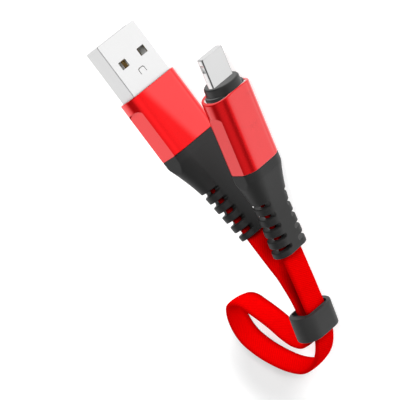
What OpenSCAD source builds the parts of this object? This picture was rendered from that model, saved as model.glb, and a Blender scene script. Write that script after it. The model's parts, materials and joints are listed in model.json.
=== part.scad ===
// Short flat charging cable: a USB plug and a phone plug on one flat lead,
// with the doubled lead gathered by a sliding keeper band.
// All sizes are in millimetres. Both plugs lie on their narrow sides on Z = 0.

/* [Layout] */
// Place of the USB boot's cord exit, left to right
usb_exit_x = 5.5; // [3:0.1:6]
// Place of the USB boot's cord exit, front to back
usb_exit_y = -10.6; // [-12:0.1:-9]
// Angle of the USB plug away from +Y, in degrees
usb_angle = 21.5; // [20:0.5:30]
// Place of the phone boot's cord exit, left to right
phone_exit_x = 11.4; // [11:0.1:14]
// Place of the phone boot's cord exit, front to back
phone_exit_y = -15.7; // [-18:0.1:-14]
// Middle of the keeper band, left to right
band_x = 9.3; // [9.2:0.05:9.4]
// Middle of the keeper band, front to back
band_y = -33.3; // [-33.5:0.1:-29.3]

/* [Flat cable] */
// Width of the flat cable
cable_w = 5.8; // [5:0.1:6]
// Thickness of the flat cable in the middle of its width
cable_t = 1.6; // [1.3:0.05:1.7]
// How far each broad side falls back from there to the cable's rounded edges
cable_crown = 0.2; // [0.1:0.05:0.3]
// Lean of the ribbon in its tightest bend
bend_lean = 9; // [0:1:12]
// Distance from that bend over which the ribbon leans
bend_reach = 4.5; // [3:0.5:6]
// Diameter of one insulated wire
wire_d = 0.9; // [0.6:0.05:1.1]
// Spacing of the wires where they leave the cable
wire_pitch = 1.3; // [1.15:0.05:1.4]

/* [USB shell] */
// Room between the shell and the sleeve's bore at each narrow side
shell_side_room = 0.35; // [0.25:0.05:0.5]
// Room between the shell and the sleeve's bore at each broad side
shell_broad_room = 0.65; // [0.5:0.05:0.7]
// Sheet thickness of the steel shell
shell_wall = 0.3; // [0.2:0.05:0.35]
// Outer corner radius of the steel shell
shell_corner_r = 0.6; // [0.4:0.1:1]
// Length of shell that shows beyond the sleeve
shell_out = 12.6; // [11.8:0.1:13.5]
// Length of shell held inside the sleeve
shell_in = 6.1; // [5.5:0.1:6.5]
// Width of one latch window in the shell
window_w = 2.15; // [1.8:0.05:2.4]
// Length of one latch window in the shell
window_l = 1.75; // [1.5:0.05:2.2]
// Distance from the shell's tip to the windows' middle
window_from_tip = 6; // [5:0.1:6.5]
// Distance between the middles of the two windows
window_spacing = 6.05; // [5.6:0.05:6.6]
// Width of the small leaf pressed in the shell
leaf_w = 1.85; // [1.4:0.05:2.2]
// Length of the small leaf
leaf_l = 1.35; // [1:0.05:1.8]
// Distance from the shell's tip to the leaf's free end
leaf_from_tip = 8.5; // [8.2:0.1:9]
// Width of the slit round the leaf
leaf_slit = 0.2; // [0.1:0.05:0.3]
// Width of the shell's butt seam
seam_gap = 0.06; // [0.03:0.01:0.1]

/* [USB contacts] */
// Thickness of the tongue that carries the contacts
usb_tongue_t = 1.9; // [1.6:0.05:2]
// Set-back of the tongue from the shell's tip
usb_tongue_back = 0.4; // [0.2:0.1:0.8]
// Depth of the plug's mouth, from the tip to the solid block
usb_mouth_depth = 9.2; // [8.7:0.1:10]
// Width of one USB contact
usb_contact_w = 1; // [0.8:0.05:1.2]
// Thickness of one USB contact
usb_contact_t = 0.3; // [0.2:0.05:0.4]
// Distance between the two inner contacts
usb_contact_inner = 2; // [1.9:0.05:2.2]
// Distance between an outer contact and the inner one beside it
usb_contact_outer = 2.5; // [2.3:0.05:2.6]
// Set-back of the outer contacts from the shell's tip
usb_outer_back = 1; // [0.8:0.1:1.4]
// Set-back of the inner contacts from the shell's tip
usb_inner_back = 2; // [1.6:0.1:2.4]
// How far the USB contacts stand over the tongue's face
usb_contact_proud = 0.05; // [0.03:0.01:0.1]
// Length of the contacts' tails behind the block
usb_tail_l = 1.5; // [1.2:0.1:1.8]

/* [USB sleeve and boot] */
// Width of the USB sleeve
usb_sleeve_w = 15.2; // [14.8:0.1:15.6]
// Thickness of the USB sleeve
usb_sleeve_t = 6.9; // [6.6:0.1:7.4]
// Length of the USB sleeve
usb_sleeve_l = 14.4; // [13.9:0.1:16]
// Depth of the flat milled on each narrow side of the USB sleeve
usb_flat_depth = 0.8; // [0.5:0.05:0.9]
// Distance from the sleeve's mouth to the start of its flats
usb_flat_start = 2.6; // [2:0.1:4]
// Length of the USB boot
usb_boot_l = 22.8; // [22:0.1:25]
// Width of the USB boot's neck where its flare ends
usb_neck_w = 9.4; // [8.8:0.1:9.6]
// Thickness of the USB boot's neck
usb_neck_t = 4.9; // [4.6:0.1:5.4]
// Width of the USB boot at its cord exit
usb_tail_w = 7.6; // [7:0.1:8]
// Thickness of the USB boot at its cord exit
usb_tail_t = 4.3; // [4:0.1:4.8]
// Length of the USB boot's flare
usb_flare_l = 9.6; // [8:0.1:10]
// Straight start of the USB boot behind the sleeve
usb_collar_l = 1.8; // [1:0.1:2.4]

/* [Phone tongue] */
// Width of the tongue
tongue_w = 6.65; // [6.4:0.05:6.9]
// Thickness of the tongue
tongue_t = 1.5; // [1.4:0.05:1.6]
// Corner radius of the tongue's section
tongue_corner_r = 0.5; // [0.3:0.05:0.6]
// Radius of the tongue's two corners at its tip
tongue_tip_r = 0.3; // [0.2:0.1:1.2]
// Length of tongue that shows beyond the collar
tongue_out = 6.4; // [6:0.1:7]
// Radius of the latch notch in each side of the tongue
notch_r = 1.3; // [1:0.05:1.6]
// Depth of the latch notch
notch_depth = 0.35; // [0.2:0.05:0.4]
// Height of the latch notch in the middle of the tongue's thickness
notch_h = 0.9; // [0.6:0.1:1]
// Distance from the tongue's tip to the notch's middle
notch_from_tip = 2.1; // [1.8:0.05:3]
// Length of the tongue's root below the insert in the sleeve's mouth
tongue_root_l = 0.2; // [0.1:0.05:0.4]
// Metal left over the contact window's back
tongue_skin = 0.45; // [0.35:0.05:0.5]
// Width of one phone contact
phone_contact_w = 0.36; // [0.3:0.02:0.4]
// Length of one phone contact
phone_contact_l = 3.2; // [2.8:0.1:3.6]
// Spacing of the phone contacts
phone_contact_pitch = 0.56; // [0.52:0.01:0.58]
// Number of phone contacts
phone_contact_count = 8; // [6:1:8]
// Distance from the tongue's tip to the contacts
phone_contact_back = 1.5; // [1.2:0.1:2]
// Length of plastic between the contacts and the end of their window
window_margin = 0.5; // [0.3:0.05:0.6]

/* [Phone sleeve, collar and boot] */
// Width of the collar's base flange
flange_w = 10.2; // [9.8:0.1:10.6]
// Thickness of the collar's base flange
flange_t = 4.8; // [4.2:0.1:6]
// Height of the collar's base flange
flange_h = 0.8; // [0.6:0.1:1.2]
// Width of the collar's upper tier at its foot
tier_w = 8.6; // [8:0.1:9]
// Thickness of the collar's upper tier at its foot
tier_t = 6.8; // [6.2:0.1:6.9]
// Height of the collar's upper tier over the flange
tier_h = 1.8; // [1.4:0.1:2.2]
// How far the upper tier's wall leans in towards its top
tier_lean = 0.3; // [0:0.05:0.4]
// Rounding of the upper tier's rim
tier_rim_r = 1.4; // [0.5:0.05:1.6]
// Rounding of the base flange's rims
flange_rim_r = 0.3; // [0.1:0.02:0.3]
// Width of the phone sleeve
phone_sleeve_w = 11.9; // [11.6:0.1:12.4]
// Thickness of the phone sleeve
phone_sleeve_t = 7.1; // [6.9:0.1:7.4]
// Length of the phone sleeve
phone_sleeve_l = 16.4; // [16:0.1:18]
// Depth of the flat milled on each narrow side of the phone sleeve
phone_flat_depth = 0.4; // [0.3:0.05:0.6]
// Distance from the sleeve's mouth to the start of its flats
phone_flat_start = 3.1; // [2.4:0.1:4.5]
// How far the middle of the sleeve's mouth stands over its two narrow ends
mouth_rise = 0.7; // [0.4:0.05:0.9]
// Height of the white insert in the sleeve's mouth
insert_h = 1.2; // [1:0.1:1.6]
// Length of the phone boot
phone_boot_l = 20.5; // [20:0.1:23]
// Width of the phone boot's neck where its flare ends
phone_neck_w = 8.4; // [7.9:0.1:8.6]
// Thickness of the phone boot's neck
phone_neck_t = 4.7; // [4.3:0.1:5]
// Width of the phone boot at its cord exit
phone_tail_w = 8.9; // [8.2:0.1:9.4]
// Thickness of the phone boot at its cord exit
phone_tail_t = 4.8; // [4.4:0.1:5]
// Length of the phone boot's flare
phone_flare_l = 8.8; // [7.5:0.1:9]
// Straight start of the phone boot behind the sleeve
phone_collar_l = 2.1; // [1.4:0.1:2.6]

/* [Phone circuit board] */
// Thickness of the circuit board
board_t = 0.55; // [0.4:0.05:0.6]
// Width of the board's body
board_w = 8.2; // [7.6:0.1:8.3]
// Width of the board's finger inside the tongue
finger_w = 4.7; // [4.6:0.05:4.8]
// Length of the board's body
board_l = 7.6; // [7:0.1:8]
// Side of the square control chip
chip_side = 3.2; // [2.5:0.1:3.6]
// Height of the control chip
chip_h = 0.8; // [0.5:0.05:0.9]
// Distance from the board's front edge to the chip and the small parts
chip_back = 0.6; // [0.4:0.1:1]
// Width of one small board part
board_part_w = 0.6; // [0.4:0.05:0.8]
// Length of one small board part
board_part_l = 1.1; // [0.8:0.05:1.2]
// Height of one small board part
board_part_h = 0.45; // [0.3:0.05:0.6]
// Space between two small board parts in a row
board_part_gap = 0.7; // [0.4:0.1:1]

/* [Sleeve and strain relief details] */
// Wall of both sleeves on their broad faces
sleeve_wall = 0.55; // [0.4:0.05:0.6]
// Metal left under a milled flat
flat_wall = 0.45; // [0.35:0.05:0.5]
// Corner radius of the USB sleeve's bore
usb_bore_r = 1.4; // [1.3:0.1:1.8]
// Corner radius of the phone sleeve's bore
phone_bore_r = 2.6; // [1.8:0.1:2.8]
// Rounding of the sleeves' rims
sleeve_rim_r = 0.18; // [0.1:0.02:0.25]
// How much wider a flat's cutter is than the flat that it leaves
flat_cut_spare = 0.2; // [0.1:0.05:0.3]
// Corner radius at the upper end of the milled flats
flat_corner_r = 1.4; // [0.8:0.1:1.5]
// Gap between each crimp and the boot's spigot, which stands inside the sleeve
crimp_gap = 0.3; // [0.2:0.05:0.5]
// Number of flexing slots along each side of a boot
slot_count = 5; // [3:1:5]
// Spacing of the flexing slots
slot_pitch = 2.6; // [2.4:0.05:2.7]
// Height of one flexing slot
slot_h = 0.95; // [0.7:0.05:1.2]
// Distance from the cord exit to the first slot's middle
slot_first = 1.75; // [1.5:0.05:2]
// Half the width of the web left by the first slot
slot_web_near = 1.2; // [1:0.05:1.6]
// Growth of that half width from one slot to the next
slot_web_step = 0.32; // [0.2:0.02:0.36]
// Length of the crimp round the cable's end
crimp_l = 2; // [1.6:0.1:2.2]
// Sheet thickness of the crimp
crimp_wall = 0.35; // [0.25:0.05:0.45]
// Length of bare wire run from the cable's end to its solder joint
wire_run = 2; // [1.8:0.1:2.4]
// Straight length at each end of a wire
wire_stub = 0.3; // [0.2:0.05:0.4]
// Length of one solder joint
solder_l = 1; // [0.7:0.05:1.1]

/* [Keeper band] */
// Angle that the keeper band leans towards the plugs, in degrees
band_angle = 2; // [0:0.5:3]
// Height of the keeper band as it stands
band_w = 10.6; // [10:0.1:11]
// Thickness of the keeper band across the two leads
band_t = 6.5; // [6.4:0.1:7.2]
// Length of the keeper band along the leads
band_l = 5.6; // [5:0.1:5.6]
// Height of the slot through the band
band_slot_w = 7.4; // [7.4:0.1:7.8]
// Thickness of the slot through the band
band_slot_t = 4.9; // [4.9:0.05:5.2]
// Corner radius of the slot
band_slot_r = 1.1; // [0.8:0.1:1.4]
// Rounding of the band's rims
band_rim_r = 0.25; // [0.2:0.05:0.4]

/* [Fits] */
// Gap between pieces that are pushed together
fit_gap = 0.05; // [0.03:0.01:0.08]
// Height of the cable's lower edge over the surface, at the lowest bend
table_gap = 0.05; // [0.05:0.05:0.3]

/* [Hidden] */
$fn = 48;
over = 1;                      // how far a cut runs past what it cuts

// Each plug is drawn standing on its cord exit: width along X, thickness along Y, tip at +Z.
usb_z = usb_sleeve_w / 2;
phone_z = phone_sleeve_w / 2;
band_z = band_w / 2 * cos(band_angle) + band_l / 2 * sin(band_angle);
usb_exit = [usb_exit_x, usb_exit_y, usb_z];
phone_exit = [phone_exit_x, phone_exit_y, phone_z];

// Levels along the USB plug, from its cord exit
usb_mouth = usb_boot_l + usb_sleeve_l;
usb_tip = usb_mouth + shell_out;
shell_rear = usb_mouth - shell_in;
usb_tail_end = shell_rear - usb_tail_l;
usb_cable_end = usb_tail_end - wire_run;
usb_spigot_top = usb_cable_end - crimp_l - crimp_gap;
usb_block_top = usb_tip - usb_mouth_depth;
usb_tongue_top = usb_tip - usb_tongue_back;

// Levels along the phone plug, from its cord exit
phone_mouth = phone_boot_l + phone_sleeve_l;
mouth_top = phone_mouth + mouth_rise;
flange_top = phone_mouth + flange_h;
tier_top = flange_top + tier_h;
phone_tip = tier_top + tongue_out;
insert_base = phone_mouth - insert_h;
tongue_rear = insert_base - tongue_root_l;
board_top = tongue_rear - fit_gap;
board_rear = board_top - board_l;
phone_cable_end = board_rear - wire_run;
phone_spigot_top = phone_cable_end - crimp_l - crimp_gap;
phone_contact_top = phone_tip - phone_contact_back;
phone_contact_low = phone_contact_top - phone_contact_l;
window_top = phone_contact_top + window_margin;

// Places across the plugs; the shell comes out at 12 x 4.5
shell_w = usb_sleeve_w - 2 * (usb_flat_depth + flat_wall + shell_side_room);
shell_t = usb_sleeve_t - 2 * (sleeve_wall + shell_broad_room);
shell_in_w = shell_w - 2 * shell_wall;
shell_in_t = shell_t - 2 * shell_wall;
usb_tongue_low = -shell_in_t / 2 + fit_gap;
usb_contact_face = usb_tongue_low + usb_tongue_t + usb_contact_proud;
usb_inner_x = usb_contact_inner / 2;
usb_outer_x = usb_inner_x + usb_contact_outer;
usb_contact_x = [-usb_outer_x, -usb_inner_x, usb_inner_x, usb_outer_x];
board_top_y = tongue_t / 2 - tongue_skin - fit_gap;
board_low_y = board_top_y - board_t;
carrier_t = tongue_t / 2 + board_low_y;
window_in_w = finger_w + 2 * fit_gap;
contact_row_w = (phone_contact_count - 1) * phone_contact_pitch;
wire_x = [for (k = [-1.5:1:1.5]) k * wire_pitch];

// ---------------------------------------------------------------- outlines

// A straight bar with fully round ends, width along X
module stadium(w, t) {
    square([w - t, t], center = true);
    for (side = [-1, 1])
        translate([side * (w - t) / 2, 0]) circle(d = t);
}

// A rectangle with round corners
module round_box(w, t, r) {
    square([w - 2 * r, t], center = true);
    square([w, t - 2 * r], center = true);
    for (x = [-1, 1], y = [-1, 1])
        translate([x * (w / 2 - r), y * (t / 2 - r)]) circle(r);
}

// The half section of a wall whose two rims are rounded
module rim_profile(reach, h, r) {
    square([reach - r, h]);
    translate([0, r]) square([reach, h - 2 * r]);
    for (z = [r, h - r])
        translate([reach - r, z]) circle(r);
}

// A stadium block whose wall has the child's half section all the way round
module swept_stadium(w, t) {
    for (side = [-1, 1])
        translate([side * (w - t) / 2, 0, 0]) rotate_extrude() children();
    translate([-(w - t) / 2, 0, 0]) rotate([90, 0, 90]) linear_extrude(w - t) {
        children();
        mirror([1, 0]) children();
    }
}

// A stadium block of height h with rounded rims at both ends
module soft_stadium(w, t, h, r) {
    swept_stadium(w, t) rim_profile(t / 2, h, r);
}

// A block standing on level z
module slab(x, y, z, h) {
    translate([x[0], y[0], z]) cube([x[1] - x[0], y[1] - y[0], h]);
}

// Lays a plug drawn on +Z down on its narrow side, with its cord exit at a place
module lay_down(place, turn) {
    translate(place) rotate([0, 0, turn]) rotate([-90, -90, 0]) children();
}
module lay_usb() { lay_down(usb_exit, usb_angle) children(); }
module lay_phone() { lay_down(phone_exit, 0) children(); }

// ---------------------------------------------------------------- flat cable route

// Middle line of the free stretch, from the phone boot round the loop to the USB boot
loop_low = cable_w / 2 + table_gap;
route = [
    [11.4, -18.6, 5.9], [11.3, -21.6, 5.75], [11.1, -24.2, 5.5], [10.8, -27.6, 5.2],
    [10.8, -31.5, 5.15], [10.6, -35.0, 5.15], [10.1, -37.1, 5.1], [9.1, -39.4, 5.0],
    [7.4, -41.8, 4.7], [4.4, -44.4, 4.3], [0.9, -46.0, 3.9], [-3.2, -46.0, 3.5],
    [-7.4, -44.7, 3.2], [-11.6, -42.3, loop_low], [-14.2, -39.4, loop_low],
    [-15.2, -35.7, loop_low], [-14.9, -32.8, loop_low], [-13.8, -31.0, loop_low],
    [-12.1, -30.3, loop_low], [-10.3, -30.5, loop_low], [-7.4, -32.2, 3.2],
    [-3.6, -35.0, 3.6], [-0.6, -37.6, 4.0], [1.6, -38.9, 4.25], [3.7, -39.2, 4.5],
    [5.8, -38.5, 4.7], [7.5, -36.8, 4.85], [8.1, -34.6, 4.95], [8.1, -31.2, 5.0],
    [8.15, -27.6, 5.25], [8.1, -24.0, 5.8], [7.95, -21.0, 6.3], [7.45, -18.2, 6.8],
    [6.75, -14.8, 7.3], [6.0, -11.9, 7.6]
];
bend_place = [-12.9, -30.2];   // where the ribbon bends most

// A point inside a plug, a given way up from its cord exit
function inside(place, turn, up) = place + up * [-sin(turn), cos(turn), 0];
lead_in = 1;
spine = concat(
    [inside(phone_exit, 0, phone_cable_end), inside(phone_exit, 0, lead_in), phone_exit],
    route,
    [usb_exit, inside(usb_exit, usb_angle, lead_in), inside(usb_exit, usb_angle, usb_cable_end)]);

spine_end = len(spine) - 1;
function chord(i) = norm(spine[i + 1] - spine[i]);
function heading(i) = (spine[i + 1] - spine[i]) / chord(i);
// Direction of the middle line at a point, weighted towards the nearer neighbour
function lean(i) = i == 0 ? heading(0)
    : i == spine_end ? heading(spine_end - 1)
    : (heading(i) * chord(i - 1) + heading(i - 1) * chord(i)) / (chord(i) + chord(i - 1));
// Place on the span that starts at point i, with s from 0 to 1
function on_span(i, s) =
    (2 * pow(s, 3) - 3 * pow(s, 2) + 1) * spine[i]
    + (pow(s, 3) - 2 * pow(s, 2) + s) * chord(i) * lean(i)
    + (3 * pow(s, 2) - 2 * pow(s, 3)) * spine[i + 1]
    + (pow(s, 3) - pow(s, 2)) * chord(i) * lean(i + 1);
function span_lean(i, s) =
    (6 * pow(s, 2) - 6 * s) * (spine[i] - spine[i + 1])
    + (3 * pow(s, 2) - 4 * s + 1) * chord(i) * lean(i)
    + (3 * pow(s, 2) - 2 * s) * chord(i) * lean(i + 1);

rings_per_span = 2;
cap_sides = 5;                 // facets round each edge of the cable
crown_sides = 4;               // facets over each broad side of the cable
cable_places = concat(
    [for (i = [0:spine_end - 1], k = [0:rings_per_span - 1])
        [on_span(i, k / rings_per_span), span_lean(i, k / rings_per_span)]],
    [[spine[spine_end], lean(spine_end)]]);

// The cable's section: two rounded edges, and broad sides that crown between them
edge_r = cable_t / 2 - cable_crown;
edge_up = cable_w / 2 - edge_r;
cable_section = [for (side = [1, -1]) each concat(
    [for (k = [0:cap_sides]) let (turn = 180 * k / cap_sides)
        side * [edge_r * cos(turn), edge_up + edge_r * sin(turn)]],
    [for (k = [1:crown_sides - 1]) let (up = 1 - 2 * k / crown_sides)
        side * [cable_crown * pow(up, 2) - cable_t / 2, up * edge_up]])];

// Lean of the section at a place on the route
function ribbon_lean(place) =
    let (near = max(0, 1 - norm([place[0], place[1]] - bend_place) / bend_reach))
    bend_lean * pow(near, 2) * (3 - 2 * near);

// Before it leans, the section's across is level and square to the route, and its up is +Z
function cable_ring(place) =
    let (flat = [place[1][0], place[1][1], 0] / norm([place[1][0], place[1][1]]),
         level = [flat[1], -flat[0], 0],
         turn = ribbon_lean(place[0]),
         across = cos(turn) * level + sin(turn) * [0, 0, 1],
         up = cos(turn) * [0, 0, 1] - sin(turn) * level)
    [for (p = cable_section) place[0] + p[0] * across + p[1] * up];

module flat_cable() {
    sides = len(cable_section);
    rings = len(cable_places);
    skin = [for (r = [0:rings - 2], k = [0:sides - 1])
        let (a = r * sides + k,
             b = r * sides + (k + 1) % sides)
        each [[a, b, a + sides], [b, b + sides, a + sides]]];
    first = [for (k = [1:sides - 2]) [0, k + 1, k]];
    last = [for (k = [1:sides - 2]) (rings - 1) * sides * [1, 1, 1] + [0, k, k + 1]];
    color("red")
        polyhedron([for (place = cable_places) each cable_ring(place)], concat(skin, first, last));
}

// ---------------------------------------------------------------- shared plug pieces

// Cutter for the flats milled on both narrow sides, from level low up to the rounded end
module side_flats(w, t, depth, low, high) {
    cut_w = 2 * sqrt(pow(t / 2, 2) - pow(t / 2 - depth, 2)) + flat_cut_spare;
    for (side = [0, 180])
        rotate([0, 0, side]) translate([w / 2 - depth, 0, 0]) rotate([90, 0, 90])
            linear_extrude(depth + over) {
                translate([-cut_w / 2, low]) square([cut_w, high - flat_corner_r - low]);
                translate([-cut_w / 2 + flat_corner_r, low])
                    square([cut_w - 2 * flat_corner_r, high - low]);
                for (x = [-1, 1])
                    translate([x * (cut_w / 2 - flat_corner_r), high - flat_corner_r])
                        circle(flat_corner_r);
            }
}

// Outline of a sleeve's bore, or of what fits in it with a gap all round
module bore_outline(w, t, flat_depth, r, gap) {
    round_box(w - 2 * (flat_depth + flat_wall + gap), t - 2 * (sleeve_wall + gap), r - gap);
}
module usb_bore(gap) { bore_outline(usb_sleeve_w, usb_sleeve_t, usb_flat_depth, usb_bore_r, gap); }
module phone_bore(gap) {
    bore_outline(phone_sleeve_w, phone_sleeve_t, phone_flat_depth, phone_bore_r, gap);
}

// Metal sleeve with milled flats, from its rear end at level low; its bore is the child
module sleeve(w, t, l, low, flat_depth, flat_start) {
    difference() {
        translate([0, 0, low]) soft_stadium(w, t, l, sleeve_rim_r);
        translate([0, 0, low - over]) linear_extrude(l + 2 * over) children();
        side_flats(w, t, flat_depth, low - over, low + l - flat_start);
    }
}

// What stays of the flare at a distance down from the sleeve
function flare(down, collar, length) =
    down <= collar ? 1 : down >= collar + length ? 0 : pow(1 - (down - collar) / length, 1.5);
function line_between(down, from, to, a, b) = a + (b - a) * (down - from) / (to - from);

// Sizes of a boot's section at a distance down from the sleeve: the neck's straight taper
// with the flare added on top
function boot_size(down, l, collar, length, full, neck, tail) =
    let (taper = line_between(max(down, collar), collar + length, l, neck, tail))
    taper + (full - line_between(collar, collar + length, l, neck, tail))
        * flare(down, collar, length);

boot_cap = 8;                  // facets round each narrow side of a boot
function boot_ring(w, t, z) = [for (side = [-1, 1], k = [0:boot_cap])
    let (turn = -90 + 180 * k / boot_cap)
    [side * ((w - t) / 2 + t / 2 * cos(turn)), side * t / 2 * sin(turn), z]];

// Flared strain relief, with its cord exit at level 0; the child is the outline of the
// spigot that it has inside the sleeve
module boot(full, neck, tail, l, spigot_top, collar, length, flat_depth) {
    steps = 12;
    downs = concat([0], [for (k = [0:steps]) collar + length * k / steps], [l]);
    sides = 2 * (boot_cap + 1);
    rings = len(downs);
    function size(i, down) = boot_size(down, l, collar, length, full[i], neck[i], tail[i]);
    points = [for (down = downs) each boot_ring(size(0, down), size(1, down), l - down)];
    skin = [for (r = [0:rings - 2], k = [0:sides - 1])
        let (a = r * sides + k,
             b = r * sides + (k + 1) % sides)
        each [[a, b, a + sides], [b, b + sides, a + sides]]];
    first = [[for (k = [sides - 1:-1:0]) k]];
    last = [[for (k = [0:sides - 1]) (rings - 1) * sides + k]];
    difference() {
        union() {
            polyhedron(points, concat(skin, first, last));
            translate([0, 0, l - over]) linear_extrude(over + spigot_top - l) children();
        }
        side_flats(full[0], full[1], flat_depth, 0, l + flat_corner_r + over);
        cable_channel(-over, spigot_top + over);
        for (k = [0:slot_count - 1], side = [0, 180])
            rotate([0, 0, side])
                translate([slot_web_near + k * slot_web_step, 0, slot_first + k * slot_pitch])
                    flexing_slot(full[0], full[1]);
    }
}

// Cutter for one flexing slot, with a round inner end at the origin
module flexing_slot(reach, t) {
    rotate([90, 0, 0]) linear_extrude(2 * t, center = true) {
        translate([slot_h / 2, 0]) circle(d = slot_h);
        translate([slot_h / 2, -slot_h / 2]) square([reach, slot_h]);
    }
}

// Room for the flat cable inside a plug
module cable_channel(low, high) {
    translate([0, 0, low]) linear_extrude(high - low)
        stadium(cable_w + 2 * fit_gap, cable_t + 2 * fit_gap);
}

// Steel clip pressed round the cable's end
module crimp(low) {
    translate([0, 0, low]) linear_extrude(crimp_l) difference() {
        stadium(cable_w + 2 * (fit_gap + crimp_wall), cable_t + 2 * (fit_gap + crimp_wall));
        stadium(cable_w + 2 * fit_gap, cable_t + 2 * fit_gap);
        square([2 * fit_gap, cable_t + 4 * crimp_wall + over], center = false);
    }
}

// Four insulated wires that fan out from the cable's end to their joints
module wires(ends, low, high, joint_y) {
    for (k = [0:len(wire_x) - 1])
        hull() {
            translate([wire_x[k], 0, low]) cylinder(d = wire_d, h = wire_stub, $fn = 24);
            translate([ends[k], joint_y, high - wire_stub])
                cylinder(d = wire_d, h = wire_stub, $fn = 24);
        }
}

// Half-round drops of solder on a face that looks to +Y
module solder_drops(places, face_y, low) {
    intersection() {
        for (x = places)
            translate([x, face_y, low]) cylinder(d = wire_d, h = solder_l);
        slab([-shell_w, shell_w], [face_y, face_y + wire_d], low - over, solder_l + 2 * over);
    }
}

// ---------------------------------------------------------------- USB plug

module usb_shell() {
    color("gainsboro") lay_usb() difference() {
        translate([0, 0, shell_rear]) linear_extrude(usb_tip - shell_rear)
            difference() {
                round_box(shell_w, shell_t, shell_corner_r);
                round_box(shell_in_w, shell_in_t, shell_corner_r - shell_wall);
            }
        // latch windows through both broad faces
        for (side = [-1, 1])
            translate([side * window_spacing / 2, 0, 0])
                slab([-window_w / 2, window_w / 2], [-shell_t, shell_t],
                     usb_tip - window_from_tip - window_l / 2, window_l);
        // slit on three sides of the pressed leaf
        difference() {
            slab([-leaf_w / 2, leaf_w / 2], [0, shell_t], usb_tip - leaf_from_tip - leaf_l, leaf_l);
            slab([leaf_slit - leaf_w / 2, leaf_w / 2 - leaf_slit], [0, shell_t],
                 usb_tip - leaf_from_tip - leaf_l - over, leaf_l + over - leaf_slit);
        }
        // butt seam where the sheet's two edges meet
        slab([-seam_gap / 2, seam_gap / 2], [-shell_t, 0], shell_rear - over,
             usb_tip - shell_rear + 2 * over);
    }
}

module usb_contact_block() {
    groove = usb_contact_w / 2 + fit_gap;
    color("whitesmoke") lay_usb() difference() {
        translate([0, 0, shell_rear]) linear_extrude(usb_tongue_top - shell_rear)
            round_box(shell_in_w - 2 * fit_gap, shell_in_t - 2 * fit_gap,
                      shell_corner_r - shell_wall - fit_gap);
        // the plug's mouth, over the tongue
        slab([-shell_w, shell_w], [usb_tongue_low + usb_tongue_t, shell_t], usb_block_top,
             usb_mouth_depth);
        for (x = usb_contact_x)
            slab([x - groove, x + groove],
                 [usb_contact_face - usb_contact_t - fit_gap, usb_contact_face + fit_gap],
                 shell_rear - over, usb_tongue_top - shell_rear + 2 * over);
    }
}

module usb_contacts() {
    color("goldenrod") lay_usb() for (x = usb_contact_x)
        slab([x - usb_contact_w / 2, x + usb_contact_w / 2],
             [usb_contact_face - usb_contact_t, usb_contact_face], usb_tail_end,
             usb_tip - (abs(x) > usb_inner_x ? usb_outer_back : usb_inner_back)
                 - usb_tail_end);
}

module usb_solder_joints() {
    color("silver") lay_usb() solder_drops(usb_contact_x, usb_contact_face, usb_tail_end);
}

module usb_wires() {
    color("gold") lay_usb()
        wires(usb_contact_x, usb_cable_end, usb_tail_end, usb_contact_face);
}

module usb_crimp() {
    color("silver") lay_usb() crimp(usb_cable_end - crimp_l);
}

module usb_inner_mould() {
    color("dimgray") lay_usb() difference() {
        translate([0, 0, usb_spigot_top + fit_gap])
            linear_extrude(usb_mouth - sleeve_rim_r - usb_spigot_top - fit_gap)
                usb_bore(fit_gap);
        translate([0, 0, shell_rear - fit_gap]) linear_extrude(shell_in + over)
            round_box(shell_w + 2 * fit_gap, shell_t + 2 * fit_gap, shell_corner_r);
        wire_chamber(usb_outer_x + wire_d, usb_spigot_top, shell_rear, usb_cable_end);
    }
}

// Room behind a plug's inner parts: the cable and crimp below, the wires above
module wire_chamber(half_w, low, high, cable_end) {
    crimp_w = cable_w + 2 * (crimp_wall + 2 * fit_gap);
    crimp_t = cable_t + 2 * (crimp_wall + 2 * fit_gap);
    translate([0, 0, low]) linear_extrude(cable_end - low) stadium(crimp_w, crimp_t);
    slab([-half_w, half_w], [-crimp_t / 2, crimp_t / 2], cable_end - fit_gap,
         high - cable_end + 2 * fit_gap);
}

module usb_sleeve() {
    color("crimson") lay_usb()
        sleeve(usb_sleeve_w, usb_sleeve_t, usb_sleeve_l, usb_boot_l, usb_flat_depth,
               usb_flat_start) usb_bore(0);
}

module usb_boot() {
    color("dimgray") lay_usb()
        boot([usb_sleeve_w, usb_sleeve_t], [usb_neck_w, usb_neck_t], [usb_tail_w, usb_tail_t],
             usb_boot_l, usb_spigot_top, usb_collar_l, usb_flare_l, usb_flat_depth)
            usb_bore(fit_gap);
}

// ---------------------------------------------------------------- phone plug

module phone_tongue() {
    color("lightgray") lay_phone() difference() {
        intersection() {
            translate([0, 0, tongue_rear]) linear_extrude(phone_tip - tongue_rear)
                round_box(tongue_w, tongue_t, tongue_corner_r);
            rotate([90, 0, 0]) linear_extrude(tongue_t + over, center = true) {
                translate([-tongue_w / 2, tongue_rear - over])
                    square([tongue_w, phone_tip - tongue_tip_r - tongue_rear + over]);
                translate([0, phone_tip - tongue_tip_r])
                    square([tongue_w - 2 * tongue_tip_r, 2 * tongue_tip_r], center = true);
                for (side = [-1, 1])
                    translate([side * (tongue_w / 2 - tongue_tip_r), phone_tip - tongue_tip_r])
                        circle(tongue_tip_r);
            }
        }
        // pocket for the board's finger and the contacts, open to the back face
        slab([-window_in_w / 2, window_in_w / 2], [-tongue_t, board_top_y + fit_gap],
             tongue_rear - over, window_top + fit_gap - tongue_rear + over);
        for (side = [-1, 1])
            translate([side * (tongue_w / 2 - notch_depth + notch_r), 0,
                       phone_tip - notch_from_tip])
                rotate([90, 0, 0]) cylinder(r = notch_r, h = notch_h, center = true);
    }
}

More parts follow.
